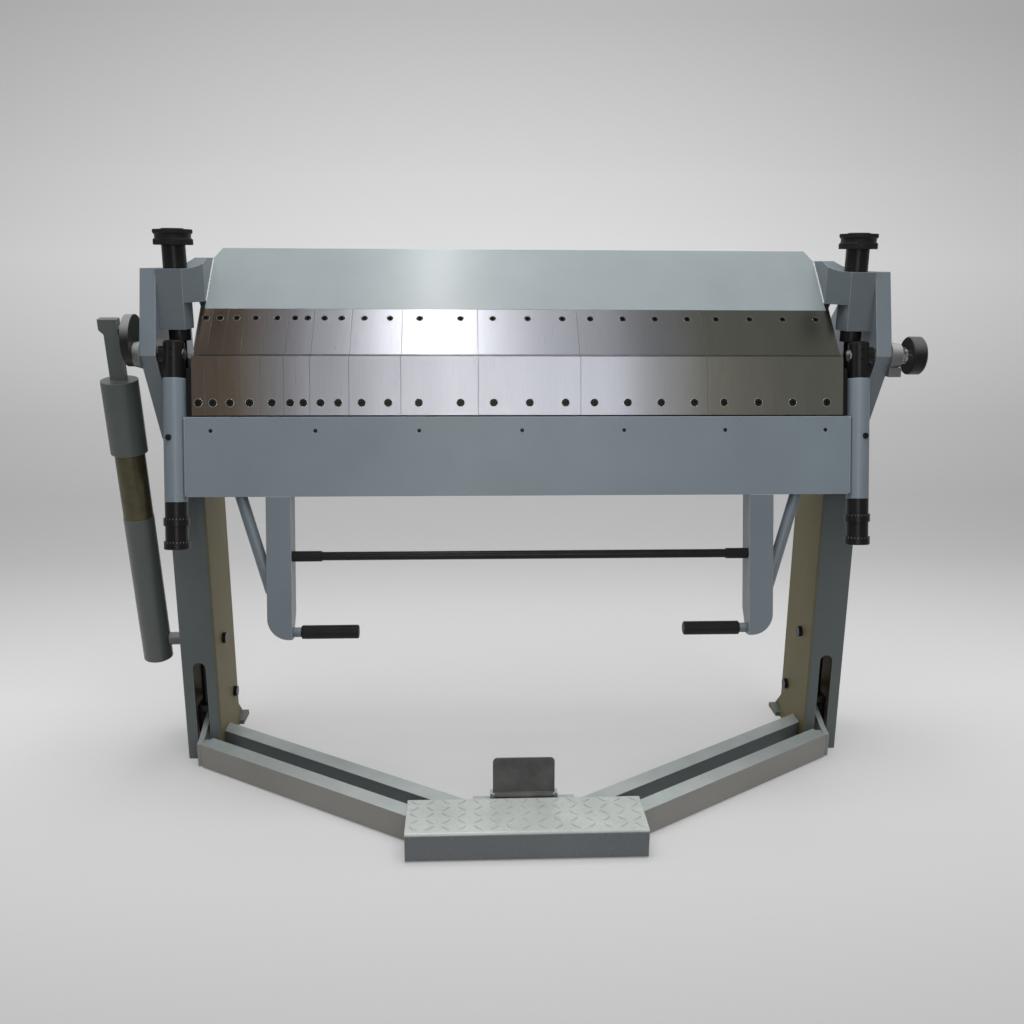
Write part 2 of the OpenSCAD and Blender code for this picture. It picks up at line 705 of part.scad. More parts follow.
// square arm, tapered at the low rear edge and rounded at the low outer corner
module arm() color(paint) at_fold() lean() mirror([1, 0, 0]) difference() {
    translate([arm_x, 0, 0]) along_x(arm_w) polygon([[-face_y, -apron_low], [arm_d - face_y, -apron_low],
        [arm_d - face_y, -arm_low + arm_taper], [arm_d - face_y - arm_taper / 2, -arm_low],
        [-face_y, -arm_low]]);
    translate([arm_x + arm_w / 2 - arm_round, -face_y - over, -arm_low + arm_round]) difference() {
        translate([0, 0, -arm_round - over]) cube([arm_round + over, arm_d + 2 * over, arm_round + over]);
        translate([0, -over, 0]) rotate([-90, 0, 0]) cylinder(r = arm_round, h = arm_d + 4 * over);
    }
}
module handle_arm_left() arm();
module handle_arm_right() mirror([1, 0, 0]) arm();

handle_y = 6;
handle_out = 75;
handle_in = 19;
handle_top_x = arm_x + handle_out;
handle_low_x = arm_x + handle_in;
handle_low = 462;
grip_z = 542;
grip_l = 112;
stub_l = 15;

// rods from the apron to the arms, and the stubs that carry the grips
module handle_rods() color(paint) at_fold() lean() both_sides() {
    run = [handle_low_x - handle_top_x, handle_low - apron_low];
    difference() {
        translate([handle_top_x, handle_y, -apron_low]) rotate([0, -atan2(run[0], run[1]), 0])
            translate([0, 0, -norm(run)]) cylinder(d = handle_d, h = norm(run) + handle_d);
        translate([handle_top_x - arm_w, -arm_w, -apron_low]) cube(2 * arm_w);
        translate([arm_x - arm_w / 2, -arm_w, -arm_low - arm_w]) cube([arm_w, 2 * arm_w, arm_low + arm_w]);
    }
    translate([arm_x - arm_w / 2 - stub_l - grip_l + handle_d, handle_y, -grip_z])
        rod_x(handle_d - 2 * crown, stub_l + grip_l - handle_d);
}
module handle_grips() color(black) at_fold() lean() both_sides()
    translate([arm_x - arm_w / 2 - stub_l - grip_l, handle_y, -grip_z]) rotate([0, 90, 0]) rotate_extrude()
        difference() {
            polygon([[0, 0], [grip_d / 2 - crown, 0], [grip_d / 2, crown], [grip_d / 2, grip_l - crown],
                [grip_d / 2 - crown, grip_l], [0, grip_l]]);
            translate([0, handle_d]) square([handle_d / 2 - crown, grip_l]);
        }

crossbar_z = 392;
crossbar_y = 0;
collar_d = 21;
collar_left_l = 57;
collar_right_l = 43;
module crossbar() color(black) at_fold() lean() translate([0, crossbar_y, -crossbar_z]) {
    half = arm_x - arm_w / 2;
    translate([-half, 0, 0]) rod_x(crossbar_d, 2 * half);
    translate([-half, 0, 0]) rod_x(collar_d, collar_left_l);
    translate([half - collar_right_l, 0, 0]) rod_x(collar_d, collar_right_l);
}

disc_back = 14;
disc_up = 26;
crank_pin_d = 20;
disc_x = side_x + boss_l + body_gap;
head_bar_w = 28;
head_x = strut_x - head_bar_w / 2;
pin_start = tube_x - knuckle_d / 2;

// eccentric disc turned in one piece with the left hinge pin, and its crank pin
module crank_disc() color(black) at_fold() mirror([1, 0, 0]) {
    translate([pin_start, 0, 0]) rod_x(pin_d, disc_x + disc_t / 2 - pin_start);
    translate([disc_x, disc_back, disc_up]) rod_x(disc_d, disc_t);
    translate([disc_x + disc_t / 2, crank_back, crank_up])
        rod_x(crank_pin_d, head_x - body_gap - disc_x - disc_t / 2);
}

thread_l = 16;
thread_d = 30;
side_knob_d = 75;
side_knob_t = 28;
side_pin_x = side_x + boss_right_l + thread_l;
side_stem_share = 0.7;
module pivot_pin_right() color("silver") at_fold() {
    translate([pin_start, 0, 0]) rod_x(pin_d, side_pin_x - pin_start);
    translate([side_pin_x - thread_l + body_gap, 0, 0]) rod_x(thread_d, thread_l - body_gap);
    translate([side_pin_x, 0, 0]) rod_x(pin_d * side_stem_share, side_knob_t - bolt_head_t);
}
module side_knob() color(black) at_fold() translate([side_pin_x + body_gap, 0, 0]) rotate([0, 90, 0])
    rotate_extrude() difference() {
        polygon([[0, 0], [side_knob_d / 2 - crown, 0], [side_knob_d / 2, crown],
            [side_knob_d / 2, side_knob_t - 2 * crown], [side_knob_d / 2 - 2 * crown, side_knob_t],
            [0, side_knob_t]]);
        square([pin_d / 2 * side_stem_share + run_gap, side_knob_t - bolt_head_t]);
    }

adjuster_l = 92;
adjuster_d = 43;
flange_d = 49;
flange_low_share = 0.18;
waist_low_share = 0.5;
flange_high_share = 0.67;
adjuster_chamfer = 1.5;
adjuster_stem_r = stem_d / 2;
adjuster_r = adjuster_d / 2;
flange_r = flange_d / 2;
flange_high = -adjuster_l * (1 - flange_high_share);
waist_low = -adjuster_l * (1 - waist_low_share);
flange_low = -adjuster_l * (1 - flange_low_share);

// two-flanged thimble that turns on its stem in the end tube
module adjuster() color(black) at_fold() lean() mirror([1, 0, 0])
    translate([tube_x, tube_y, -tube_low - body_gap]) rotate_extrude() polygon([
        [0, stem_l], [adjuster_stem_r, stem_l], [adjuster_stem_r, 0], [adjuster_r, 0],
        [adjuster_r, flange_high], [flange_r, flange_high], [flange_r, waist_low], [adjuster_r, waist_low],
        [adjuster_r, flange_low], [flange_r, flange_low], [flange_r, -adjuster_l + adjuster_chamfer],
        [flange_r - adjuster_chamfer, -adjuster_l], [0, -adjuster_l]]);
module adjuster_left() adjuster();
module adjuster_right() mirror([1, 0, 0]) adjuster();

// Pedal

pedal_low = 3;
tread_back = -214;
tread_t = 4;
tread_x = tread_w / 2;
pedal_z = -fold_h + pedal_low;
tread_round = 7;
end_block_l = 50;
lever_front_y = 40;
lever_foot_y = 62;
lever_foot_w = 26;
lever_h = 40;
pivot_eye_d = 46;
slot_play = 3;
fork_slot_l = 30;

tread_front = tread_back - tread_d;
bar_tread_y = tread_back - bar_w + tread_t;
bar_column_x = column_x - slot_w / 2;
// the bar runs on below the tread's side, where it is cut to it
bar_end_over = bar_w / 2;
bar_end_y = bar_tread_y - bar_end_over * (pedal_front_y - bar_tread_y) / (bar_column_x - tread_x);

// chequer plate folded over at the front, with a rail and two end blocks below
module pedal_tread() color(paint) at_fold() {
    translate([0, 0, pedal_z]) along_x(tread_w) difference() {
        union() {
            translate([tread_front + tread_round, 0]) square([tread_d - tread_round, bar_h]);
            translate([tread_front, 0]) square([tread_d, bar_h - tread_round]);
            translate([tread_front + tread_round, bar_h - tread_round]) circle(tread_round);
        }
        translate([tread_front + tread_t, -over]) square([tread_d, bar_h + over - tread_t]);
    }
    translate([-tread_x, tread_front + tread_t, pedal_z])
        cube([tread_w, bar_w - tread_t, bar_h - tread_t]);
    both_sides() translate([-tread_x, bar_tread_y - bar_w / 2, pedal_z])
        cube([end_block_l, bar_w, bar_h - tread_t]);
}

// slanting front bar with the lever that runs into the column to the pedal pivot
module pedal_bar() color(paint) at_fold() difference() {
    union() {
        difference() {
            bar_between([-bar_column_x, pedal_front_y], [bar_end_over - tread_x, bar_end_y],
                pedal_z, bar_h - tread_t / 2, bar_w, 0);
            translate([-tread_x, tread_front, pedal_z - over]) cube([tread_w, tread_d, bar_h + 2 * over]);
        }
        translate([-column_x, 0, 0]) along_x(lever_t) polygon([
            [pedal_pivot_y, -pedal_pivot_drop + lever_h / 2],
            [pedal_pivot_y, -pedal_pivot_drop - lever_h / 2],
            [lever_foot_y, pedal_z], [lever_front_y, pedal_z],
            [lever_front_y, pedal_z + bar_h - tread_t],
            [lever_foot_y, pedal_z + bar_h]]);
        translate([-column_x - lever_t / 2, lever_front_y, pedal_z])
            cube([lever_foot_w, lever_foot_y - lever_front_y, bar_h - tread_t]);
        translate([-column_x - lever_t / 2, pedal_pivot_y, -pedal_pivot_drop]) rod_x(pivot_eye_d, lever_t);
    }
    translate([-column_x - lever_t, pedal_pivot_y, -pedal_pivot_drop])
        rod_x(bolt_d + 2 * run_gap, 2 * lever_t);
    // slotted hole that the fork's pin slides in
    translate([-column_x - lever_t, pull_y, -fork_pin_drop]) rotate([atan(lever_slope), 0, 0]) {
        for (y = [-fork_slot_l / 2, fork_slot_l / 2])
            translate([0, y, 0]) rod_x(fork_pin_d + 2 * slot_play, 2 * lever_t);
        translate([0, -fork_slot_l / 2, -fork_pin_d / 2 - slot_play])
            cube([2 * lever_t, fork_slot_l, fork_pin_d + 2 * slot_play]);
    }
}
module pedal_bar_left() pedal_bar();
module pedal_bar_right() mirror([1, 0, 0]) pedal_bar();

// Counterbalance strut

strut_rise = crank_up + strut_pin_drop;
strut_back = strut_pin_y - crank_back;
strut_len = norm([strut_rise, strut_back]);
strut_tilt = atan2(strut_back, strut_rise);
strut_low_end = -44;
head_reach = 99;
top_tube_l = 152;
guide_show = 144;
guide_in = 47;
strut_top_high = strut_len - head_reach;
strut_top_low = strut_top_high - top_tube_l;
guide_top = strut_top_low + guide_in;
strut_low_top = strut_top_low - guide_show;
strut_cap = 8;
head_bar_t = 22;
head_bar_top = 24;
head_out = 9;
head_out_l = 21;

// frame of the strut: the origin on its lower pin, Z along it
module on_strut() at_fold()
    translate([-strut_x, strut_pin_y, -strut_pin_drop]) rotate([strut_tilt, 0, 0]) children();

// closed lower tube with a blind bore for its pin
module strut_lower_tube() color(paint) on_strut() difference() {
    translate([0, 0, strut_low_end]) cylinder(d = strut_low_d, h = strut_low_top - strut_low_end);
    translate([-strut_pin_past - body_gap, 0, 0]) rod_x(bolt_d + 2 * run_gap, strut_low_d);
}
module strut_guide() color("#8a7a4c") on_strut()
    translate([0, 0, strut_low_top]) cylinder(d = guide_d, h = guide_top - strut_low_top);

// upper tube with the head bar that hangs on the crank pin
module strut_upper_tube() color(paint) on_strut() {
    difference() {
        translate([0, 0, strut_top_low]) cylinder(d = strut_top_d, h = strut_top_high - strut_top_low);
        translate([0, 0, strut_top_low - over])
            cylinder(d = guide_d + 2 * run_gap, h = strut_top_high - strut_top_low - strut_cap + over);
    }
    translate([0, head_bar_t / 2, strut_len]) rotate([90, 0, 0]) linear_extrude(head_bar_t) polygon([
        [head_bar_w / 2, head_bar_top], [-head_bar_w / 2 - head_out, head_bar_top],
        [-head_bar_w / 2 - head_out, head_bar_top - head_out_l],
        [-head_bar_w / 2, head_bar_top - head_out_l - head_out],
        [-head_bar_w / 2, -head_reach], [head_bar_w / 2, -head_reach]]);
}

column_left();
column_right();
cheek_left();
cheek_right();
lower_beam();
table_blade();
base_tube_left();
base_tube_right();
base_cross_tube();
pivot_bosses();
pivot_bushes();
column_bolts();
upper_beam();
upper_face_plate();
end_bracket_left();
end_bracket_right();
lift_rod_left();
lift_rod_right();
knob_left();
knob_right();
upper_narrow_segments();
upper_segment_75();
upper_segment_100();
upper_segment_150();
upper_segment_200();
upper_segment_250();
upper_segment_270();
upper_segment_screws();
apron_beam();
apron_backing();
end_tube_left();
end_tube_right();
knuckle_left();
knuckle_right();
fold_narrow_segments();
fold_segment_75();
fold_segment_100();
fold_segment_150();
fold_segment_200();
fold_segment_250();
fold_segment_270();
fold_segment_screws();
apron_grub_screws();
handle_arm_left();
handle_arm_right();
handle_rods();
handle_grips();
crossbar();
crank_disc();
pivot_pin_right();
side_knob();
adjuster_left();
adjuster_right();
pedal_tread();
pedal_bar_left();
pedal_bar_right();
latch_plate();
strut_lower_tube();
strut_guide();
strut_upper_tube();
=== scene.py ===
import bmesh
import bpy
import json
import math
from mathutils import Matrix, Vector


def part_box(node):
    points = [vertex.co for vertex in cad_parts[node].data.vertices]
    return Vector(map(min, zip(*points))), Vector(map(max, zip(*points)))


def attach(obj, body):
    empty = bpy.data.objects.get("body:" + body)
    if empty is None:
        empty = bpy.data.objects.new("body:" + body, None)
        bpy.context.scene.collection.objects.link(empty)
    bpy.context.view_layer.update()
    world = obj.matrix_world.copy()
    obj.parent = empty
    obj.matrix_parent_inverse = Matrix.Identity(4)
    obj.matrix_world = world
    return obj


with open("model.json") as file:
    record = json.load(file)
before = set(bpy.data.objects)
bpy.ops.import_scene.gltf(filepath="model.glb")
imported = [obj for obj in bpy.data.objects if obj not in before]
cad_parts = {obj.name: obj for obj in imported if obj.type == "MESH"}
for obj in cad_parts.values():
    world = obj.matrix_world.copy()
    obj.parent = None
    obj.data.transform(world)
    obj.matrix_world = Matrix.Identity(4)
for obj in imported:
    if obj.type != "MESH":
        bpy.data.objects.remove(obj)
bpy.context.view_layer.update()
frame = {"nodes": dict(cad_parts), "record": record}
scene = bpy.context.scene

# The folding line and the lean of the folding beam; all lengths in metres
FOLD_Y = -0.282
FOLD_Z = 0.9
LEAN = math.radians(12)

SIDES = ((-1, "left"), (1, "right"))
FULL_TURN = 2 * math.pi


# Node helpers

def new_material(name):
    """A material, its node tree and its Principled shader."""
    mat = bpy.data.materials.new(name)
    mat.use_nodes = True
    tree = mat.node_tree
    tree.nodes.clear()
    out = tree.nodes.new("ShaderNodeOutputMaterial")
    bsdf = tree.nodes.new("ShaderNodeBsdfPrincipled")
    tree.links.new(bsdf.outputs[0], out.inputs[0])
    return mat, tree, bsdf


def noise(tree, scale, detail, rough=0.5, stretch=(1, 1, 1)):
    """Noise in object space, drawn out along an axis by a small stretch value."""
    coord = tree.nodes.new("ShaderNodeTexCoord")
    mapping = tree.nodes.new("ShaderNodeMapping")
    mapping.inputs["Scale"].default_value = stretch
    tex = tree.nodes.new("ShaderNodeTexNoise")
    tex.inputs["Scale"].default_value = scale
    tex.inputs["Detail"].default_value = detail
    tex.inputs["Roughness"].default_value = rough
    tree.links.new(coord.outputs["Object"], mapping.inputs[0])
    tree.links.new(mapping.outputs[0], tex.inputs["Vector"])
    return tex.outputs["Fac"]


def ramp(tree, fac, stops):
    """Colour ramp through the given (position, colour) stops."""
    node = tree.nodes.new("ShaderNodeValToRGB")
    elements = node.color_ramp.elements
    while len(elements) < len(stops):
        elements.new(0.5)
    for element, (pos, colour) in zip(elements, stops):
        element.position = pos
        element.color = (*colour, 1)
    tree.links.new(fac, node.inputs[0])
    return node.outputs[0]


def to_range(tree, fac, low, high):
    """The share from 0 to 1 turned into a value from low to high."""
    node = tree.nodes.new("ShaderNodeMapRange")
    node.inputs["To Min"].default_value = low
    node.inputs["To Max"].default_value = high
    tree.links.new(fac, node.inputs[0])
    return node.outputs[0]


def from_range(tree, value, low, high, smooth=False):
    """0 at low and 1 at high."""
    node = tree.nodes.new("ShaderNodeMapRange")
    if smooth:
        node.interpolation_type = "SMOOTHSTEP"
    node.inputs["From Min"].default_value = low
    node.inputs["From Max"].default_value = high
    tree.links.new(value, node.inputs[0])
    return node.outputs[0]


def calc(tree, operation, a, b):
    """Math node on two sockets, of which the second may be a number."""
    node = tree.nodes.new("ShaderNodeMath")
    node.operation = operation
    tree.links.new(a, node.inputs[0])
    if isinstance(b, float):
        node.inputs[1].default_value = b
    else:
        tree.links.new(b, node.inputs[1])
    return node.outputs[0]


def mix(tree, fac, a, b):
    """Blend of two colours, each a socket or a fixed tone."""
    node = tree.nodes.new("ShaderNodeMix")
    node.data_type = "RGBA"
    tree.links.new(fac, node.inputs["Factor"])
    for socket, value in ((node.inputs[6], a), (node.inputs[7], b)):
        if isinstance(value, tuple):
            socket.default_value = (*value, 1)
        else:
            tree.links.new(value, socket)
    return node.outputs[2]


def split_xyz(tree, vector):
    """The three parts of a vector."""
    node = tree.nodes.new("ShaderNodeSeparateXYZ")
    tree.links.new(vector, node.inputs[0])
    return node.outputs


def place_xyz(tree):
    """The point's place in object space, in three parts."""
    return split_xyz(tree, tree.nodes.new("ShaderNodeTexCoord").outputs["Object"])


def facing_xyz(tree):
    """The direction that the face looks in, in three parts."""
    return split_xyz(tree, tree.nodes.new("ShaderNodeNewGeometry").outputs["Normal"])


# Cosine between bevelled and true normal: above the first a face counts as flat, below the second as edge
EDGE_FLAT = 0.995
EDGE_SHARP = 0.9
BEVEL_SAMPLES = 4


def edge_wear(tree, radius):
    """1 on edges and 0 on flat faces, and the bevelled normal that tells them apart."""
    bevel = tree.nodes.new("ShaderNodeBevel")
    bevel.samples = BEVEL_SAMPLES
    bevel.inputs["Radius"].default_value = radius
    geo = tree.nodes.new("ShaderNodeNewGeometry")
    dot = tree.nodes.new("ShaderNodeVectorMath")
    dot.operation = "DOT_PRODUCT"
    tree.links.new(bevel.outputs[0], dot.inputs[0])
    tree.links.new(geo.outputs["Normal"], dot.inputs[1])
    return from_range(tree, dot.outputs["Value"], EDGE_FLAT, EDGE_SHARP), bevel.outputs[0]


def bump(tree, bsdf, height, strength, distance, base_normal):
    """Fine relief on top of the bevelled normal."""
    node = tree.nodes.new("ShaderNodeBump")
    node.inputs["Strength"].default_value = strength
    node.inputs["Distance"].default_value = distance
    tree.links.new(height, node.inputs["Height"])
    tree.links.new(base_normal, node.inputs["Normal"])
    tree.links.new(node.outputs[0], bsdf.inputs["Normal"])


def times(colour, share):
    return tuple(share * c for c in colour)


# Noise values between which a mottled colour goes from dark to light
MOTTLE_LOW = 0.3
MOTTLE_HIGH = 0.7


def mottled(tree, colour, scale, detail, dark, light):
    """The colour in soft patches between its dark and its light share."""
    stops = [(MOTTLE_LOW, times(colour, dark)), (MOTTLE_HIGH, times(colour, light))]
    return ramp(tree, noise(tree, scale, detail), stops)


def vary_roughness(tree, bsdf, scale, detail, low, high):
    tree.links.new(to_range(tree, noise(tree, scale, detail), low, high), bsdf.inputs["Roughness"])


# Materials

def paint_material(name, colour, pale, roughness=0.38, coat=0.25, shine=0.5):
    """Shop paint: slight cloudiness, fine orange peel, paler on the edges."""
    mat, tree, bsdf = new_material(name)
    base = mottled(tree, colour, scale=6, detail=4, dark=0.93, light=1.06)
    edge, soft = edge_wear(tree, radius=0.0016)
    tree.links.new(mix(tree, edge, base, pale), bsdf.inputs["Base Color"])
    vary_roughness(tree, bsdf, scale=40, detail=3, low=roughness - 0.05, high=roughness + 0.07)
    bsdf.inputs["Specular IOR Level"].default_value = shine
    bsdf.inputs["Coat Weight"].default_value = coat
    bsdf.inputs["Coat Roughness"].default_value = 0.22
    bump(tree, bsdf, noise(tree, 420, 2), strength=0.18, distance=0.0006, base_normal=soft)
    return mat


def base_colour(mat):
    """A finished material's tree, its shader and the socket that colours it."""
    tree = mat.node_tree
    bsdf = next(node for node in tree.nodes if node.type == "BSDF_PRINCIPLED")
    return tree, bsdf, bsdf.inputs["Base Color"].links[0].from_socket


# Upward part of a face's direction at which the painted top light starts and is full
TOP_START = 0.05
TOP_FULL = 0.75


def paint_top_light(mat, tone):
    """The given paler tone on the faces that look up: painted light from above."""
    tree, bsdf, plain = base_colour(mat)
    top = from_range(tree, facing_xyz(tree)[2], TOP_START, TOP_FULL, smooth=True)
    top_light = mottled(tree, tone, scale=14, detail=3, dark=0.9, light=1.08)
    tree.links.new(mix(tree, top, plain, top_light), bsdf.inputs["Base Color"])


# Place along X times the X of the direction that a face looks in, where the painted bounce light on the
# inner faces starts and is full
INNER_START = -0.3
INNER_FULL = -0.5


def paint_inner_bounce_light(mat, tint):
    """The given warm tint on the faces that look towards the middle of the machine: painted bounce light."""
    tree, bsdf, plain = base_colour(mat)
    product = calc(tree, "MULTIPLY", place_xyz(tree)[0], facing_xyz(tree)[0])
    inner = from_range(tree, product, INNER_START, INNER_FULL)
    tree.links.new(mix(tree, inner, plain, tint), bsdf.inputs["Base Color"])


# Half length of the tool rows, and the painted reflection on the steel from their left end to their right
# end
ROW_HALF = 0.635
REFLECTION_LEFT_BROWN = (0.22, 0.175, 0.135)
REFLECTION_MIDDLE_BLUE = (0.44, 0.45, 0.50)
REFLECTION_RIGHT_OLIVE = (0.27, 0.265, 0.225)
STEEL_REFLECTION_TONES = [(0.0, REFLECTION_LEFT_BROWN), (0.06, REFLECTION_LEFT_BROWN), (0.17, REFLECTION_MIDDLE_BLUE), (0.66, REFLECTION_MIDDLE_BLUE),
               (0.80, REFLECTION_RIGHT_OLIVE)]
STEEL_EDGE = (0.5, 0.49, 0.47)
# Noise drawn out along Y and Z, as the grinding marks run
GRINDING = (1, 0.02, 0.02)


def ground_steel_material():
    """Ground tool steel: fine grinding, with a painted reflection that is brown at the left, pale at the
    middle, olive at the right.
    """
    mat, tree, bsdf = new_material("ground_steel")
    grain = noise(tree, scale=900, detail=3, rough=0.7, stretch=GRINDING)
    broad = noise(tree, scale=9, detail=1, rough=0.4, stretch=GRINDING)
    bands = to_range(tree, broad, 0.80, 1.2)
    along = from_range(tree, place_xyz(tree)[0], -ROW_HALF, ROW_HALF)
    # Painted reflection: pale where the lamps mirror near the middle, dim brown and olive towards the ends
    tone = ramp(tree, along, STEEL_REFLECTION_TONES)
    fine = to_range(tree, grain, 0.88, 1.1)
    for factor in (bands, fine):
        scaled = tree.nodes.new("ShaderNodeVectorMath")
        scaled.operation = "SCALE"
        tree.links.new(tone, scaled.inputs[0])
        tree.links.new(factor, scaled.inputs["Scale"])
        tone = scaled.outputs[0]
    edge, soft = edge_wear(tree, radius=0.0007)
    tree.links.new(mix(tree, edge, tone, STEEL_EDGE), bsdf.inputs["Base Color"])
    bsdf.inputs["Metallic"].default_value = 1.0
    tree.links.new(to_range(tree, grain, 0.24, 0.36), bsdf.inputs["Roughness"])
    bump(tree, bsdf, grain, strength=0.10, distance=0.0003, base_normal=soft)
    return mat


def turned_metal(name, colour, roughness, metallic=1.0):
    """Turned or drawn metal with a fine variation and brighter edges."""
    mat, tree, bsdf = new_material(name)
    tone = mottled(tree, colour, scale=60, detail=3, dark=0.85, light=1.1)
    edge, soft = edge_wear(tree, radius=0.0008)
    tree.links.new(mix(tree, edge, tone, times(colour, 1.5)), bsdf.inputs["Base Color"])
    bsdf.inputs["Metallic"].default_value = metallic
    vary_roughness(tree, bsdf, scale=120, detail=2, low=roughness - 0.05, high=roughness + 0.08)
    bump(tree, bsdf, noise(tree, 700, 2), strength=0.08, distance=0.0003, base_normal=soft)
    return mat


# Weak mirror of black oxide and black plastic
BLACK_SHINE = 0.28


def black_material(name, colour, roughness, grain, strength):
    """Blackened steel or moulded plastic with a fine tooth and lighter edges."""
    mat, tree, bsdf = new_material(name)
    tone = mottled(tree, colour, scale=30, detail=3, dark=0.8, light=1.25)
    edge, soft = edge_wear(tree, radius=0.001)
    tree.links.new(mix(tree, edge, tone, times(colour, 3.0)), bsdf.inputs["Base Color"])
    bsdf.inputs["Specular IOR Level"].default_value = BLACK_SHINE
    vary_roughness(tree, bsdf, scale=90, detail=2, low=roughness - 0.06, high=roughness + 0.08)
    bump(tree, bsdf, noise(tree, grain, 2), strength, distance=0.0004, base_normal=soft)
    return mat


# Black of the knurled knobs and its edges
KNURL_BLACK = (0.01, 0.01, 0.01)
KNURL_EDGE = (0.03, 0.03, 0.03)
# Noise drawn out along Z
UPRIGHT = (1, 1, 0.05)


def knurled_material():
    """Black plastic with fine upright marks."""
    mat, tree, bsdf = new_material("knurled_black")
    edge, soft = edge_wear(tree, radius=0.001)
    tone = mottled(tree, KNURL_BLACK, scale=40, detail=2, dark=0.6, light=1.1)
    tree.links.new(mix(tree, edge, tone, KNURL_EDGE), bsdf.inputs["Base Color"])
    bsdf.inputs["Specular IOR Level"].default_value = BLACK_SHINE
    bsdf.inputs["Roughness"].default_value = 0.42
    upright = noise(tree, scale=900, detail=1, stretch=UPRIGHT)
    bump(tree, bsdf, upright, strength=0.5, distance=0.0012, base_normal=soft)
    return mat


# Painted light on the faces that look up, and painted warm bounce light on the columns' inner faces
TREAD_TOP_LIGHT = (0.43, 0.46, 0.44)
TUBE_TOP_LIGHT = (0.35, 0.39, 0.38)
DISC_TOP_LIGHT = (0.20, 0.205, 0.195)
BOSS_TOP_LIGHT = (0.34, 0.35, 0.34)
KNOB_TOP_HIGHLIGHT = (0.085, 0.085, 0.085)
INNER_BOUNCE_LIGHT = (0.19, 0.165, 0.078)

# Paints: name, colour and colour of the rubbed edges. The column, strut, handle, tube, boss and bracket
# paints are darker copies of the grey paint as painted shade, and the bar paint is a lighter copy as painted
# light
PAINT = paint_material("grey_paint", (0.175, 0.215, 0.245), (0.42, 0.47, 0.50))
COLUMN = paint_material("column_paint_shaded", (0.122, 0.140, 0.142), (0.34, 0.37, 0.38),
                        roughness=0.5, coat=0.0, shine=0.25)
STRUT = paint_material("strut_paint_shaded", (0.093, 0.108, 0.102), (0.30, 0.33, 0.33))
HANDLE = paint_material("handle_paint_shaded", (0.147, 0.178, 0.202), (0.42, 0.47, 0.50))
TUBE = paint_material("tube_paint_shaded", (0.120, 0.138, 0.140), (0.44, 0.48, 0.50))
# Lighter copy of the grey paint: painted light on the pedal bars
BAR = paint_material("bar_paint_lit", (0.255, 0.245, 0.225), (0.46, 0.50, 0.52))
BOSS = paint_material("boss_paint_shaded", (0.130, 0.135, 0.130), (0.36, 0.38, 0.38))
BRACKET = paint_material("bracket_paint_shaded", (0.115, 0.138, 0.155), (0.36, 0.40, 0.42))
FACE = paint_material("pale_paint", (0.198, 0.232, 0.243), (0.55, 0.60, 0.62), roughness=0.30, coat=0.6)
# Tread paint darkened as painted shade on its front faces; its tops get painted light from above
TREAD = paint_material("tread_paint", (0.115, 0.130, 0.140), (0.60, 0.64, 0.62), roughness=0.26, coat=0.4)
# Pale paint on the beam-end weld beads: a painted highlight along the edge
WELD = paint_material("weld_painted_highlight", (0.62, 0.65, 0.65), (0.75, 0.78, 0.78), roughness=0.3)
TICK = paint_material("tick_white", (0.22, 0.22, 0.22), (0.3, 0.3, 0.3))

# Metals and blacks
STEEL = ground_steel_material()
BRIGHT = turned_metal("bright_steel", (0.62, 0.62, 0.60), roughness=0.22)
RIM = turned_metal("bright_rim", (0.50, 0.49, 0.46), roughness=0.25)
BRONZE = turned_metal("bronze", (0.42, 0.27, 0.12), roughness=0.35)
OLIVE = turned_metal("olive_brass", (0.105, 0.092, 0.052), roughness=0.30, metallic=0.6)
BLACK = black_material("black_steel", (0.007, 0.007, 0.0075), roughness=0.30, grain=500, strength=0.1)
PLASTIC = black_material("black_grip", (0.008, 0.008, 0.008), roughness=0.45, grain=800, strength=0.3)
DISC = black_material("disc_black", (0.012, 0.012, 0.010), roughness=0.35, grain=500, strength=0.1)
SIDE_KNOB = black_material("knob_black", (0.007, 0.007, 0.007), roughness=0.35, grain=500, strength=0.1)
LATCH = black_material("latch_black", (0.082, 0.082, 0.080), roughness=0.3, grain=300, strength=0.1)
KNURL = knurled_material()

# Painted warm bounce light on the columns' inner faces
paint_inner_bounce_light(COLUMN, INNER_BOUNCE_LIGHT)
# Painted light from above: paler tones on the tops of these parts
for material, tone in ((TREAD, TREAD_TOP_LIGHT), (TUBE, TUBE_TOP_LIGHT), (BAR, TUBE_TOP_LIGHT), (BOSS, BOSS_TOP_LIGHT),
                       (DISC, DISC_TOP_LIGHT), (SIDE_KNOB, KNOB_TOP_HIGHLIGHT)):
    paint_top_light(material, tone)

SLOT_MATERIALS = {
    "paint": PAINT, "light_paint": FACE, "tread_paint": TREAD, "ground_steel": STEEL,
    "bright_steel": BRIGHT, "black_steel": BLACK, "black_plastic": PLASTIC, "bronze": BRONZE,
    "brass_tube": OLIVE}
NODE_MATERIALS = {
    "column_left": COLUMN, "column_right": COLUMN,
    "strut_lower_tube": STRUT, "strut_upper_tube": STRUT,
    "handle_arm_left": HANDLE, "handle_arm_right": HANDLE, "handle_rods": HANDLE,
    "cheek_left": HANDLE, "cheek_right": HANDLE,
    "pedal_bar_left": BAR, "pedal_bar_right": BAR,
    "base_tube_left": TUBE, "base_tube_right": TUBE, "base_cross_tube": TUBE,
    "pivot_bosses": BOSS, "crank_disc": DISC, "side_knob": SIDE_KNOB,
    "end_bracket_left": BRACKET, "end_bracket_right": BRACKET,
    "knob_left": KNURL, "knob_right": KNURL, "latch_plate": LATCH}


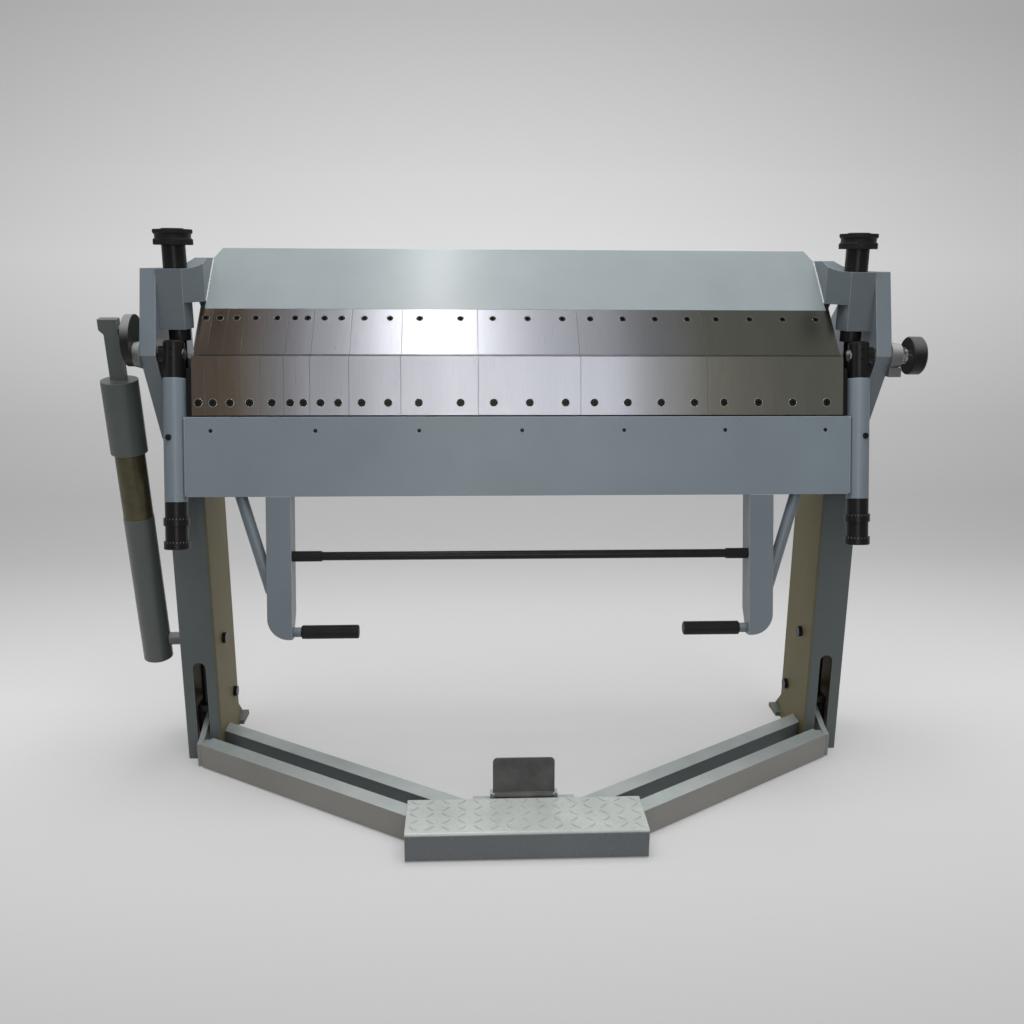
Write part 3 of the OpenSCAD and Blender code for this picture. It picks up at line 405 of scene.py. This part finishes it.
def dress_nodes():
    """Give each CAD node its own material, or else that of its slot."""
    slots = {part["node"]: part["material_slot"] for part in frame["record"]["subparts"]}
    for name, obj in frame["nodes"].items():
        mat = NODE_MATERIALS.get(name, SLOT_MATERIALS[slots[name]])
        obj.data.materials.clear()
        obj.data.materials.append(mat)


# Mesh helpers

def link_mesh(name, bm, mat, smooth):
    """Object of the mesh, in the scene."""
    mesh = bpy.data.meshes.new(name)
    bm.to_mesh(mesh)
    bm.free()
    mesh.materials.append(mat)
    for poly in mesh.polygons:
        poly.use_smooth = smooth
    obj = bpy.data.objects.new(name, mesh)
    scene.collection.objects.link(obj)
    return obj


def make_piece(name, bm, mat, body, smooth=False):
    """Piece of the scene that rides a body and fills a material slot."""
    obj = link_mesh(name, bm, mat, smooth)
    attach(obj, body)


def lean_point(x, y, z):
    """World place of a point given from the folding line in the folding beam's leaning frame."""
    world_y = y * math.cos(LEAN) + z * math.sin(LEAN)
    world_z = -y * math.sin(LEAN) + z * math.cos(LEAN)
    return Vector((x, FOLD_Y + world_y, FOLD_Z + world_z))


def slope_point(x, rise, out):
    """World place of a point on the upper beam's 45 degree face: so far up it, and out before it."""
    k = math.sqrt(0.5)
    return Vector((x, FOLD_Y + (rise - out) * k, FOLD_Z + (rise + out) * k))


def circle_angles(count):
    return [FULL_TURN * k / count for k in range(count)]


def join_rings(bm, rings, sides):
    """Faces between each ring of vertices and the next."""
    for lower, upper in zip(rings, rings[1:]):
        for k in range(sides):
            nxt = (k + 1) % sides
            bm.faces.new((lower[k], lower[nxt], upper[nxt], upper[k]))


# Weld beads: sides of the tube, turn of the ripple from point to point, and a direction off every bead
BEAD_SIDES = 8
BEAD_RIPPLE = 2.1
OFF_AXIS = Vector((0.3, 0.5, 0.8))


def bead(name, points, radius, wobble, mat, body):
    """Weld bead: a tube along points whose radius ripples a little."""
    bm = bmesh.new()
    rings = []
    for i, point in enumerate(points):
        axis = (points[min(i + 1, len(points) - 1)] - points[max(i - 1, 0)]).normalized()
        side = axis.cross(OFF_AXIS).normalized()
        up = axis.cross(side)
        r = radius * (1 + wobble * math.sin(i * BEAD_RIPPLE))
        rings.append([bm.verts.new(point + r * (math.cos(t) * side + math.sin(t) * up))
                      for t in circle_angles(BEAD_SIDES)])
    join_rings(bm, rings, BEAD_SIDES)
    bm.faces.new(list(reversed(rings[0])))
    bm.faces.new(rings[-1])
    make_piece(name, bm, mat, body, smooth=True)


def turned_ring(bm, profile, place, sides):
    """Closed ring: the (radius, height) profile turned round, each point put down by place(u, v, height)."""
    rings = [[bm.verts.new(place(r * math.cos(t), r * math.sin(t), h)) for r, h in profile]
             for t in circle_angles(sides)]
    join_rings(bm, rings + rings[:1], len(profile))


# Detail pieces

# Lozenges of the chequer plate, and their corners as shares of half length and half width
LOZENGE_PITCH_X = 0.030
LOZENGE_PITCH_Y = 0.022
LOZENGE_LENGTH = 0.026
LOZENGE_WIDTH = 0.0056
LOZENGE_HEIGHT = 0.0017
LOZENGE_SINK = 0.0003
LOZENGE_TOP_SHARE = 0.5
LOZENGE_TURN = math.radians(42)
LOZENGE = [(1, 0), (0.25, 1), (-0.25, 1), (-1, 0), (-0.25, -1), (0.25, -1)]
TREAD_ROUND = 0.007


def lozenge(bm, centre, turn):
    """One raised lozenge with sloping sides."""
    along = Vector((math.cos(turn), math.sin(turn), 0))
    across = Vector((-along.y, along.x, 0))
    foot = [centre + along * LOZENGE_LENGTH / 2 * u + across * LOZENGE_WIDTH / 2 * v for u, v in LOZENGE]
    lift = Vector((0, 0, LOZENGE_HEIGHT))
    sink = Vector((0, 0, LOZENGE_SINK))
    low = [bm.verts.new(p - sink) for p in foot]
    high = [bm.verts.new(centre + (p - centre) * LOZENGE_TOP_SHARE + lift) for p in foot]
    join_rings(bm, [low, high], len(LOZENGE))
    bm.faces.new(high)
    bm.faces.new(list(reversed(low)))


def chequer_plate():
    """Raised lozenges in a herringbone over the tread, behind its rounded front edge."""
    low, high = (Vector(v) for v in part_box("pedal_tread"))
    front = low.y + TREAD_ROUND
    columns = int((high.x - low.x) / LOZENGE_PITCH_X)
    rows = int((high.y - front) / LOZENGE_PITCH_Y)
    pitch_x = (high.x - low.x) / columns
    pitch_y = (high.y - front) / rows
    bm = bmesh.new()
    for i in range(columns):
        for j in range(rows):
            centre = Vector((low.x + (i + 0.5) * pitch_x, front + (j + 0.5) * pitch_y, high.z))
            lozenge(bm, centre, LOZENGE_TURN if (i + j) % 2 else -LOZENGE_TURN)
    make_piece("tread_lozenges", bm, TREAD, "pedal")


# Distance under which two vertices of a solid count as one
WELD_DISTANCE = 1e-6


def connected(seed, left):
    """The seed and all vertices joined to it, taken out of those left."""
    island = [seed]
    stack = [seed]
    while stack:
        for edge in stack.pop().link_edges:
            for vert in edge.verts:
                if vert in left:
                    left.discard(vert)
                    island.append(vert)
                    stack.append(vert)
    return island


def solid_centres(name):
    """Middles of the separate solids of a CAD node."""
    bm = bmesh.new()
    bm.from_mesh(frame["nodes"][name].data)
    bmesh.ops.remove_doubles(bm, verts=bm.verts, dist=WELD_DISTANCE)
    left = set(bm.verts)
    centres = []
    while left:
        island = connected(left.pop(), left)
        low = [min(v.co[k] for v in island) for k in range(3)]
        high = [max(v.co[k] for v in island) for k in range(3)]
        centres.append(Vector([(a + b) / 2 for a, b in zip(low, high)]))
    bm.free()
    return centres


# Rim of a screw's counterbore: how far into the bore, how wide, how proud and how deep it reaches
RIM_INSET = 0.0001
RIM_WIDTH = 0.0008
RIM_PROUD = 0.00012
RIM_DEPTH = 0.0004
RIM_SIDES = 28
# Counterbores of the two rows: diameter, and place in the leaning frame or up the sloping face
FOLD_BORE_D = 0.015
FOLD_BORE_Y = -0.0165
FOLD_BORE_Z = -0.094
UPPER_BORE_D = 0.013
UPPER_BORE_RISE = 0.094


def fold_row_point(x, u, v, h):
    return lean_point(x + u, FOLD_BORE_Y - h, FOLD_BORE_Z + v)


def upper_row_point(x, u, v, h):
    return slope_point(x + u, UPPER_BORE_RISE + v, h)


def screw_rims():
    """Bright broken edges round the counterbores of both tool rows."""
    rows = (("fold_segment_screws", FOLD_BORE_D, "folding_beam", "fold_screw_rims", fold_row_point),
            ("upper_segment_screws", UPPER_BORE_D, "clamping_beam", "upper_screw_rims", upper_row_point))
    for node, bore_d, body, name, row_point in rows:
        inner = bore_d / 2 - RIM_INSET
        outer = bore_d / 2 + RIM_WIDTH
        profile = [(inner, RIM_PROUD), (outer, RIM_PROUD / 2), (outer, -RIM_DEPTH), (inner, -RIM_DEPTH)]
        bm = bmesh.new()
        for centre in solid_centres(node):
            turned_ring(bm, profile, lambda u, v, h: row_point(centre.x, u, v, h), RIM_SIDES)
        bmesh.ops.recalc_face_normals(bm, faces=bm.faces)
        make_piece(name, bm, RIM, body)


# End tubes in the leaning frame, and their set screws with a (radius, height) profile
TUBE_X = 0.671
TUBE_Y = -0.002
TUBE_R = 0.02175
SET_SCREW_SIDE = 0.00725
SET_SCREW_DROP = 0.160
SET_SCREW_SINK = 0.0005
SET_SCREW_SIDES = 32
SET_SCREW = [(0.0061, 0.0), (0.0061, 0.0008), (0.0052, 0.0015), (0.0034, 0.0017), (0.0031, 0.0015),
             (0.0031, 0.0001), (0.0002, 0.0001), (0.0002, 0.0)]


def set_screws():
    """Black domed socket screws in the end tubes."""
    face = TUBE_Y - TUBE_R + SET_SCREW_SINK
    for side, tag in SIDES:
        x = side * (TUBE_X + SET_SCREW_SIDE)
        bm = bmesh.new()
        turned_ring(bm, SET_SCREW, lambda u, v, h: lean_point(x + u, face - h, v - SET_SCREW_DROP),
                    SET_SCREW_SIDES)
        bmesh.ops.recalc_face_normals(bm, faces=bm.faces)
        make_piece("tube_set_screw_" + tag, bm, BLACK, "folding_beam")


# Thread of the right shaft round the folding line; it rises over a third of its length at each end
THREAD_FROM = 0.7536
THREAD_TO = 0.7688
THREAD_R = 0.0147
THREAD_PITCH = 0.003
THREAD_DEPTH = 0.0015
THREAD_SIDES = 48
THREAD_STEPS_PER_TURN = 6
THREAD_RISE = 3


def shaft_thread():
    """Screw thread of the right shaft, as a tube whose radius follows the helix."""
    steps = int((THREAD_TO - THREAD_FROM) / THREAD_PITCH * THREAD_STEPS_PER_TURN)
    bm = bmesh.new()
    rings = []
    for i in range(steps + 1):
        x = THREAD_FROM + (THREAD_TO - THREAD_FROM) * i / steps
        fade = min(1.0, THREAD_RISE * i / steps, THREAD_RISE * (steps - i) / steps)
        row = []
        for k, t in enumerate(circle_angles(THREAD_SIDES)):
            phase = (x / THREAD_PITCH - k / THREAD_SIDES) % 1
            r = THREAD_R + THREAD_DEPTH * fade * (1 - abs(2 * phase - 1))
            row.append(bm.verts.new((x, FOLD_Y + r * math.cos(t), FOLD_Z + r * math.sin(t))))
        rings.append(row)
    join_rings(bm, rings, THREAD_SIDES)
    bm.faces.new(rings[0])
    bm.faces.new(list(reversed(rings[-1])))
    bmesh.ops.recalc_face_normals(bm, faces=bm.faces)
    make_piece("side_shaft_thread", bm, BRIGHT, "folding_beam")


# Top knobs from the folding line: axis, lower end, radius, heights of the two grip rows, and their ribs
KNOB_X = 0.671
KNOB_Y = 0.050
KNOB_LOW = 0.2053
KNOB_R = 0.0365
KNOB_ROWS = ((0.0006, 0.0100), (0.0224, 0.0284))
KNOB_RIBS = 72
RIB_WIDTH_SHARE = 0.62
RIB_SINK = 0.0003
RIB_PROUD = 0.00055
# Faces of a rib by its six corners, three below and three above
RIB_FACES = ((0, 1, 4, 3), (1, 2, 5, 4), (2, 0, 3, 5), (2, 1, 0), (3, 4, 5))


def knob_ribs():
    """Fine upright ribs round both flanges of each top knob."""
    half = FULL_TURN / 2 / KNOB_RIBS * RIB_WIDTH_SHARE
    foot = KNOB_R - RIB_SINK
    crest = KNOB_R + RIB_PROUD
    for side, tag in SIDES:
        bm = bmesh.new()
        for row in KNOB_ROWS:
            for t in circle_angles(KNOB_RIBS):
                corners = [bm.verts.new((side * KNOB_X + r * math.cos(angle),
                                         FOLD_Y + KNOB_Y + r * math.sin(angle),
                                         FOLD_Z + KNOB_LOW + z))
                           for z in row for angle, r in ((t - half, foot), (t, crest), (t + half, foot))]
                for face in RIB_FACES:
                    bm.faces.new([corners[k] for k in face])
        bmesh.ops.recalc_face_normals(bm, faces=bm.faces)
        make_piece("knob_ribs_" + tag, bm, KNURL, "knob_" + tag)


# Weld at the ends of the upper beam's face, painted pale as a highlight along the edge: place, from and to
# along the slope, out before it
BEAM_WELD_X = 0.6292
BEAM_WELD_FROM = 0.137
BEAM_WELD_TO = 0.253
BEAM_WELD_OUT = 0.0006
BEAM_WELD_R = 0.0026
BEAM_WELD_STEPS = 30
BEAM_WELD_WOBBLE = 0.15
# Weld between apron and end tubes, in the leaning frame
TUBE_WELD_X = 0.6496
TUBE_WELD_Y = -0.0156
TUBE_WELD_TOP = -0.122
TUBE_WELD_LENGTH = 0.152
TUBE_WELD_R = 0.0024
TUBE_WELD_STEPS = 40
TUBE_WELD_WOBBLE = 0.2


def weld_beads():
    """Beads down both ends of the upper beam's face, with a painted highlight, and along the end tubes."""
    rises = [BEAM_WELD_FROM + i * (BEAM_WELD_TO - BEAM_WELD_FROM) / BEAM_WELD_STEPS
             for i in range(BEAM_WELD_STEPS + 1)]
    heights = [TUBE_WELD_TOP - i * TUBE_WELD_LENGTH / TUBE_WELD_STEPS for i in range(TUBE_WELD_STEPS + 1)]
    for side, tag in SIDES:
        points = [slope_point(side * BEAM_WELD_X, rise, BEAM_WELD_OUT) for rise in rises]
        bead("beam_end_weld_" + tag, points, BEAM_WELD_R, BEAM_WELD_WOBBLE, WELD, "clamping_beam")
        points = [lean_point(side * TUBE_WELD_X, TUBE_WELD_Y, z) for z in heights]
        bead("tube_weld_" + tag, points, TUBE_WELD_R, TUBE_WELD_WOBBLE, PAINT, "folding_beam")


# Adjusters under the end tubes: top and length in the leaning frame, and the ticks at both flanges
ADJUSTER_TOP = -0.2843
ADJUSTER_LENGTH = 0.092
FLANGE_SHARES = (0.33, 0.82)
TICK_RADIUS = 0.0247
TICK_LENGTH = 0.0022
TICK_WIDTH = 0.0010
TICK_BELOW = 0.0026
TICK_COUNT = 24
TICK_CORNERS = ((-1, -1), (1, -1), (1, 1), (-1, 1))


def adjuster_ticks():
    """Short pale graduations round both flanges of each adjuster."""
    for side, tag in SIDES:
        bm = bmesh.new()
        for flange_share in FLANGE_SHARES:
            z = ADJUSTER_TOP - ADJUSTER_LENGTH * flange_share - TICK_BELOW
            middle = Vector((side * TUBE_X, TUBE_Y, z))
            for t in circle_angles(TICK_COUNT):
                out = Vector((math.cos(t), math.sin(t), 0)) * TICK_RADIUS
                across = Vector((-math.sin(t), math.cos(t), 0)) * TICK_WIDTH / 2
                upright = Vector((0, 0, TICK_LENGTH / 2))
                bm.faces.new([bm.verts.new(lean_point(*(middle + out + across * u + upright * v)))
                              for u, v in TICK_CORNERS])
        make_piece("adjuster_ticks_" + tag, bm, TICK, "adjuster_" + tag)


# Stage, light and camera

# Backdrop: floor, quarter round and wall, and its own glow
BACKDROP_FRONT = 30.0
BACKDROP_NEAR = 6.0
BACKDROP_DEPTH = 3.2
BACKDROP_ROUND = 1.6
BACKDROP_STEPS = 16
BACKDROP_HEIGHT = 14.0
BACKDROP_HALF_WIDTH = 150.0
BACKDROP_GLOW = 0.21
# Its painted light and shade, as tones by the sum of depth and height, from the floor in front up the wall
BACKDROP_FROM = -1.3
BACKDROP_TO = 5.6
BACKDROP_LIGHT_AND_SHADE = [(-1.2, 0.24), (-0.73, 0.35), (-0.3, 0.46), (0.1, 0.50), (0.66, 0.41), (1.3, 0.31),
                  (2.1, 0.28), (2.9, 0.36), (3.6, 0.51), (4.2, 0.64), (4.7, 0.60), (5.5, 0.38)]


def glow_for_seen_rays(tree, bsdf, strength):
    """A little of the backdrop's own light for camera, mirror and glass rays only."""
    path = tree.nodes.new("ShaderNodeLightPath")
    seen = path.outputs["Is Camera Ray"]
    for name in ("Is Glossy Ray", "Is Transmission Ray"):
        seen = calc(tree, "MAXIMUM", seen, path.outputs[name])
    bsdf.inputs["Emission Color"].default_value = (1, 1, 1, 1)
    tree.links.new(calc(tree, "MULTIPLY", seen, strength), bsdf.inputs["Emission Strength"])


def backdrop_material():
    """Matt grey with painted light and shade: tones that change with depth and height."""
    mat, tree, bsdf = new_material("backdrop")
    bsdf.inputs["Roughness"].default_value = 0.9
    bsdf.inputs["Specular IOR Level"].default_value = 0.1
    place = place_xyz(tree)
    along = from_range(tree, calc(tree, "ADD", place[1], place[2]), BACKDROP_FROM, BACKDROP_TO)
    span = BACKDROP_TO - BACKDROP_FROM
    stops = [((at - BACKDROP_FROM) / span, (tone, tone, tone)) for at, tone in BACKDROP_LIGHT_AND_SHADE]
    tree.links.new(ramp(tree, along, stops), bsdf.inputs["Base Color"])
    glow_for_seen_rays(tree, bsdf, BACKDROP_GLOW)
    return mat


def stage():
    """Plain floor that runs up into a wall behind the machine."""
    profile = [(-BACKDROP_FRONT, 0.0), (-BACKDROP_NEAR, 0.0)]
    for k in range(BACKDROP_STEPS + 1):
        t = FULL_TURN / 4 * k / BACKDROP_STEPS
        profile.append((BACKDROP_DEPTH - BACKDROP_ROUND + BACKDROP_ROUND * math.sin(t),
                        BACKDROP_ROUND - BACKDROP_ROUND * math.cos(t)))
    profile.append((BACKDROP_DEPTH, BACKDROP_HEIGHT))
    bm = bmesh.new()
    rows = [[bm.verts.new((x, y, z)) for x in (-BACKDROP_HALF_WIDTH, BACKDROP_HALF_WIDTH)]
            for y, z in profile]
    for a, b in zip(rows, rows[1:]):
        bm.faces.new((a[0], a[1], b[1], b[0]))
    link_mesh("backdrop", bm, backdrop_material(), smooth=True)


MIDDLE = (0, -0.3, 0.8)
WHITE = (1.0, 1.0, 1.0)
WARM = (1.0, 0.98, 0.95)
WARMER = (1.0, 0.97, 0.93)
# Lamps: name, place, target, size, power in watts, colour, and whether it has a mirror image
LAMPS = [
    ("top_softbox", (0, -0.5, 3.4), MIDDLE, (3.4, 2.6), 100, WHITE, False),
    ("back_top", (0, 1.2, 3.6), (0, 1.6, 0), (4.0, 1.6), 30, WHITE, False),
    ("front_fill", (1.5, -3.0, 2.5), MIDDLE, (1.6, 1.6), 12.5, WHITE, False),
    ("left_softbox", (-3.0, -1.4, 2.2), MIDDLE, (1.2, 1.8), 5, WHITE, True)]
# Panels that the two steel rows mirror, and the bright streaks in them
MIRRORED_LAMPS = [
    ("top_panel", (-0.085, -0.38, 2.6), (-0.085, -0.28, 0.9), (0.83, 1.2), 1.72, WHITE, True),
    ("top_streak", (-0.21, -0.38, 2.55), (-0.21, -0.28, 0.9), (0.15, 1.2), 4.5, WARM, True),
    ("front_panel", (0.07, -3.3, 1.5), (0.07, -0.28, 0.9), (0.84, 1.7), 2.0, WHITE, True),
    ("front_left_panel", (-0.65, -3.3, 1.5), (-0.65, -0.28, 0.9), (0.50, 1.7), 0.62, WHITE, True),
    ("front_streak", (-0.19, -3.25, 1.5), (-0.19, -0.28, 0.9), (0.09, 1.9), 6.0, WARMER, True),
    ("right_streak", (0.45, -3.25, 1.5), (0.30, -0.28, 0.9), (0.36, 1.9), 4.1, WHITE, True)]
WORLD_COLOUR = (0.86, 0.87, 0.88, 1)
WORLD_STRENGTH = 0.30


def area(name, place, target, size, power, colour, seen):
    """Soft rectangular lamp; one that isn't seen lights the object but has no mirror image in it."""
    lamp = bpy.data.lights.new(name, "AREA")
    lamp.shape = "RECTANGLE"
    lamp.size, lamp.size_y = size
    lamp.energy = power
    lamp.color = colour
    obj = bpy.data.objects.new(name, lamp)
    obj.location = place
    obj.rotation_euler = (Vector(target) - Vector(place)).to_track_quat("-Z", "Y").to_euler()
    obj.visible_glossy = seen
    scene.collection.objects.link(obj)


def lights():
    for lamp in LAMPS + MIRRORED_LAMPS:
        area(*lamp)
    world = bpy.data.worlds.new("studio")
    scene.world = world
    world.use_nodes = True
    background = world.node_tree.nodes["Background"]
    background.inputs[0].default_value = WORLD_COLOUR
    background.inputs[1].default_value = WORLD_STRENGTH


# Camera fitted to the photograph: place from the folding line, and angles
CAMERA_PLACE = (-0.107, -1.9546, 0.1784)
CAMERA_YAW = math.radians(2.64)
CAMERA_PITCH = math.radians(14.21)
CAMERA_ROLL = math.radians(-0.32)
CAMERA_FOCAL_PX = 990.6
CAMERA_REACH = 50
FRAME_PX = 1024
SENSOR_MM = 36.0


def camera():
    data = bpy.data.cameras.new("camera")
    data.sensor_width = SENSOR_MM
    data.sensor_fit = "HORIZONTAL"
    data.lens = CAMERA_FOCAL_PX / FRAME_PX * SENSOR_MM
    data.clip_end = CAMERA_REACH
    forward = Vector((math.sin(CAMERA_YAW) * math.cos(CAMERA_PITCH),
                      math.cos(CAMERA_YAW) * math.cos(CAMERA_PITCH),
                      -math.sin(CAMERA_PITCH)))
    level = Vector((math.cos(CAMERA_YAW), -math.sin(CAMERA_YAW), 0))
    down = forward.cross(level)
    right = math.cos(CAMERA_ROLL) * level + math.sin(CAMERA_ROLL) * down
    up = math.sin(CAMERA_ROLL) * level - math.cos(CAMERA_ROLL) * down
    obj = bpy.data.objects.new("camera", data)
    place = Vector((CAMERA_PLACE[0], FOLD_Y + CAMERA_PLACE[1], FOLD_Z + CAMERA_PLACE[2]))
    turn = Matrix((right, up, -forward)).transposed().to_4x4()
    obj.matrix_world = Matrix.Translation(place) @ turn
    scene.collection.objects.link(obj)
    scene.camera = obj


camera()
stage()
lights()
dress_nodes()
chequer_plate()
screw_rims()
set_screws()
shaft_thread()
knob_ribs()
weld_beads()
adjuster_ticks()

scene.view_settings.view_transform = "Standard"
